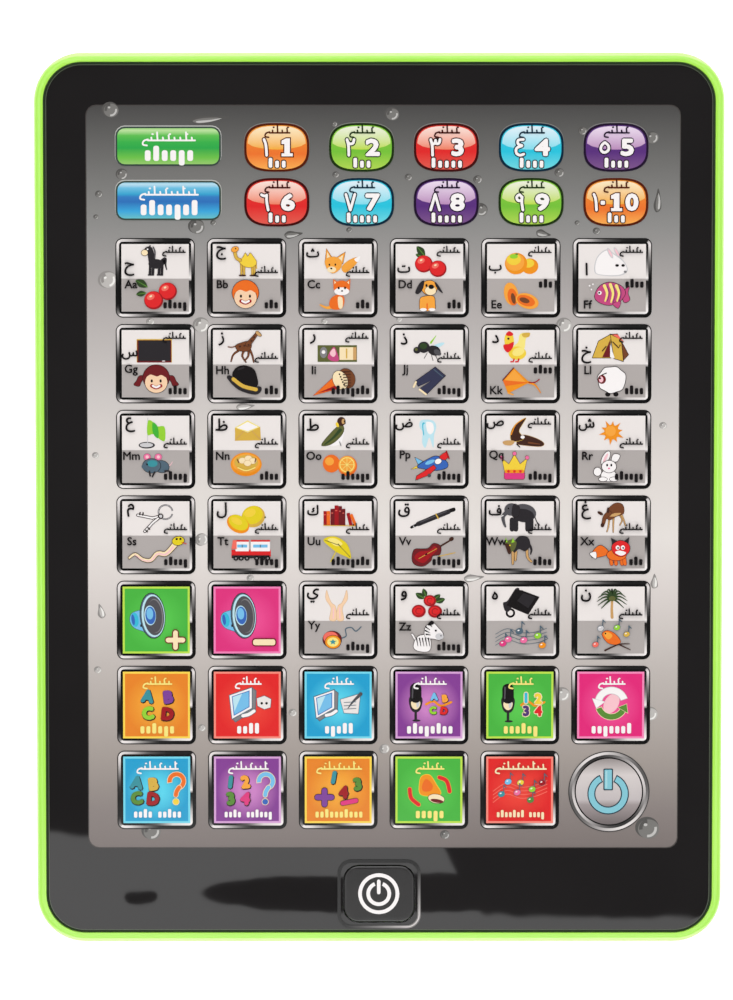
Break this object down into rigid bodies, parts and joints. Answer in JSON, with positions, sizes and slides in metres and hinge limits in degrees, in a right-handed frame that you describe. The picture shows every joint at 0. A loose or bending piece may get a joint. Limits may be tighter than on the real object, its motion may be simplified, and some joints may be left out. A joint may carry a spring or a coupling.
{
  "type": "kids toy tablet",
  "caption": "Flat tablet-shaped learning toy with a printed membrane keypad in a rimmed plastic case, a home button, a speaker grille and a battery door.",
  "frame": {"origin": "middle of the footprint, on the surface that the four feet stand on", "axes": "+Z out of the keypad, +Y to the tablet's top edge, +X to the right of someone who reads the keys"},
  "size_m": [0.1854, 0.24, 0.0184],
  "materials": {
    "lime_plastic": "glossy moulded lime green ABS",
    "overlay_film": "glossy printed polyester film, black border round a grey panel with coloured keys",
    "membrane_film": "thin clear polyester",
    "black_plastic": "glossy black",
    "component_black": "moulded epoxy",
    "white_plastic": "moulded",
    "circuit_board": "green solder mask on laminate",
    "capacitor_can": "shrink sleeve",
    "screw_steel": "zinc plated",
    "speaker_steel": "plated sheet steel",
    "ferrite": "sintered ferrite",
    "speaker_paper": "pressed paper",
    "foam": "closed-cell foam",
    "cell_jacket": "plain printed steel jacket",
    "contact_nickel": "nickel plated",
    "red_wire": "PVC insulation",
    "black_wire": "PVC insulation"
  },
  "bodies": {
    "case": {"front_case": "lime_plastic", "rear_case": "lime_plastic", "graphic_overlay": "overlay_film", "membrane_upper_sheet": "membrane_film", "membrane_spacer": "membrane_film", "membrane_lower_sheet": "membrane_film", "home_switch_body": "component_black", "main_board": "circuit_board", "sound_chip_blob": "component_black", "amplifier_chip": "component_black", "filter_capacitor": "capacitor_can", "tail_clamp_bar": "white_plastic", "tail_clamp_screw_1": "screw_steel", "tail_clamp_screw_2": "screw_steel", "board_screw_1": "screw_steel", "board_screw_2": "screw_steel", "board_screw_3": "screw_steel", "board_screw_4": "screw_steel", "case_screw_1": "screw_steel", "case_screw_2": "screw_steel", "case_screw_3": "screw_steel", "case_screw_4": "screw_steel", "case_screw_5": "screw_steel", "case_screw_6": "screw_steel", "speaker_gasket": "foam", "speaker_basket": "speaker_steel", "speaker_yoke": "speaker_steel", "speaker_magnet": "ferrite", "speaker_screw_1": "screw_steel", "speaker_screw_2": "screw_steel", "speaker_screw_3": "screw_steel", "battery_cell_1": "cell_jacket", "battery_cell_2": "cell_jacket", "battery_cell_3": "cell_jacket", "battery_spring_1": "contact_nickel", "battery_spring_2": "contact_nickel", "battery_spring_3": "contact_nickel", "battery_contact_positive": "contact_nickel", "battery_contact_negative": "contact_nickel", "battery_bridge_left": "contact_nickel", "battery_bridge_right": "contact_nickel", "battery_wire_positive": "red_wire", "battery_wire_negative": "black_wire", "speaker_wire_positive": "red_wire", "speaker_wire_negative": "black_wire"},
    "home_button": {"home_button": "black_plastic"},
    "home_switch_plunger": {"home_switch_plunger": "component_black"},
    "battery_door": {"battery_door": "lime_plastic"},
    "battery_door_screw": {"battery_door_screw": "screw_steel"},
    "speaker_cone": {"speaker_cone": "speaker_paper"}
  },
  "joints": [
    {"name": "home_button_press", "type": "slide", "parent": "case", "child": "home_button", "axis": [0, 0, -1], "range_m": [0, 0.0005], "stiffness_N_per_m": 1200, "springref_m": -0.0003},
    {"name": "home_plunger_travel", "type": "slide", "parent": "case", "child": "home_switch_plunger", "axis": [0, 0, -1], "range_m": [0, 0.0006]},
    {"name": "battery_door_hinge", "type": "hinge", "parent": "case", "child": "battery_door", "pos_m": [0, 0.0665, 0.0008], "axis": [1, 0, 0], "range_deg": [0, 30]},
    {"name": "battery_door_screw_turn", "type": "hinge", "parent": "battery_door", "child": "battery_door_screw", "pos_m": [0, 0.0275, 0.00175], "axis": [0, 0, 1], "continuous": true},
    {"name": "speaker_cone_travel", "type": "slide", "parent": "case", "child": "speaker_cone", "axis": [0, 0, -1], "range_m": [-0.0005, 0.0005], "stiffness_N_per_m": 600}
  ],
  "couplings": [
    {"joint": "home_plunger_travel", "follows": "home_button_press", "ratio": 1}
  ]
}
